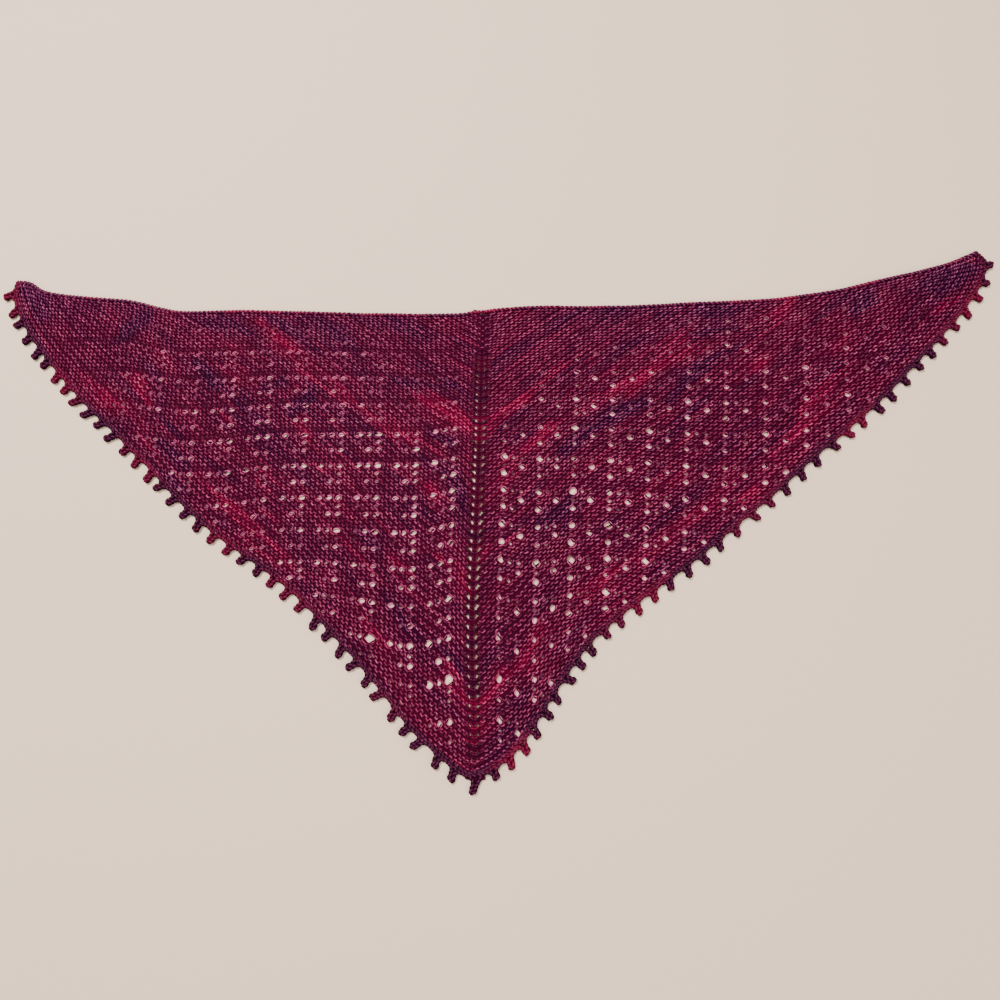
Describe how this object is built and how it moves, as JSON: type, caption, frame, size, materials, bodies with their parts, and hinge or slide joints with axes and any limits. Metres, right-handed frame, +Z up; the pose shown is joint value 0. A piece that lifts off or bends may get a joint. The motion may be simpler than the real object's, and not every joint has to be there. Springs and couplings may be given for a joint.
{
  "type": "knitted triangular lace shawl laid flat",
  "caption": "Hand-knitted triangular lace shawl laid flat, with eyelet-lace wings beside a centre spine, a slim rolled neck edge and picots along the lower edges.",
  "frame": {"origin": "on the surface under the middle of the shawl's bounding box", "axes": "+X along the wingspan towards the right tip as it lies, +Y up the centre spine towards the neck edge, +Z up from the surface"},
  "size_m": [1.084, 0.5694, 0.003],
  "materials": {
    "lace_knit": "hand-dyed wool in garter stitch with eyelet lace, raspberry and burgundy running to crimson and dark plum, matt with a slight sheen on each strand",
    "spine_knit": "the same yarn as one raised column of stitches with an eyelet on each side of every ridge",
    "neck_edge_yarn": "the same yarn as a slim rolled slip-stitch edge, mostly plum and burgundy",
    "picot_yarn": "the same yarn, bound off tightly with knitted picot nubs, dark maroon with runs of red"
  },
  "bodies": {
    "root": {"left_wing": "lace_knit", "right_wing": "lace_knit", "centre_spine": "spine_knit", "left_neck_edge": "neck_edge_yarn", "right_neck_edge": "neck_edge_yarn", "left_picot_edge": "picot_yarn", "right_picot_edge": "picot_yarn", "point_picot": "picot_yarn"}
  },
  "joints": []
}
